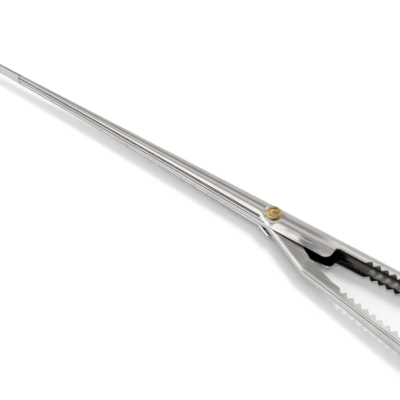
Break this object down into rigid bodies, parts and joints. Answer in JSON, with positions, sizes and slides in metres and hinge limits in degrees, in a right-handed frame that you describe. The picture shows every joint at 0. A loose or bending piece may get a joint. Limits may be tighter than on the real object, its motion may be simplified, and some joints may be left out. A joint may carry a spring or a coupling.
{
  "type": "fishing pliers",
  "caption": "Reverse-action fishing pliers: a long slim nose, folded sheet-metal arms on a brass rivet, and handles with toothed inner edges.",
  "frame": {"origin": "where the hinge axis meets the surface that the pliers lie on, at the rivet tail's flat face", "axes": "+X along the straight outer arm towards the handles' ends, +Y towards the outer arm's back, +Z along the hinge axis towards the rivet's head"},
  "size_m": [0.2829, 0.039, 0.0128],
  "materials": {
    "outer_steel": "polished stainless sheet with a fine lengthwise grain",
    "inner_steel": "polished stainless sheet with a fine lengthwise grain",
    "brass": "polished brass rivet with a dull rim",
    "turned_steel": "turned steel",
    "spring_steel": "drawn spring wire"
  },
  "bodies": {
    "outer": {"outer_arm": "outer_steel", "pivot_rivet": "brass", "spacer_sleeve": "turned_steel", "upper_bush": "turned_steel", "lower_bush": "turned_steel", "return_spring": "spring_steel"},
    "inner": {"inner_arm": "inner_steel", "return_spring_leg": "spring_steel"}
  },
  "joints": [
    {"name": "squeeze", "type": "hinge", "parent": "outer", "child": "inner", "pos_m": [0, 0, 0.00595], "axis": [0, 0, 1], "range_deg": [0, 13], "stiffness_Nm_per_rad": 0.9, "springref_deg": -9.74}
  ]
}
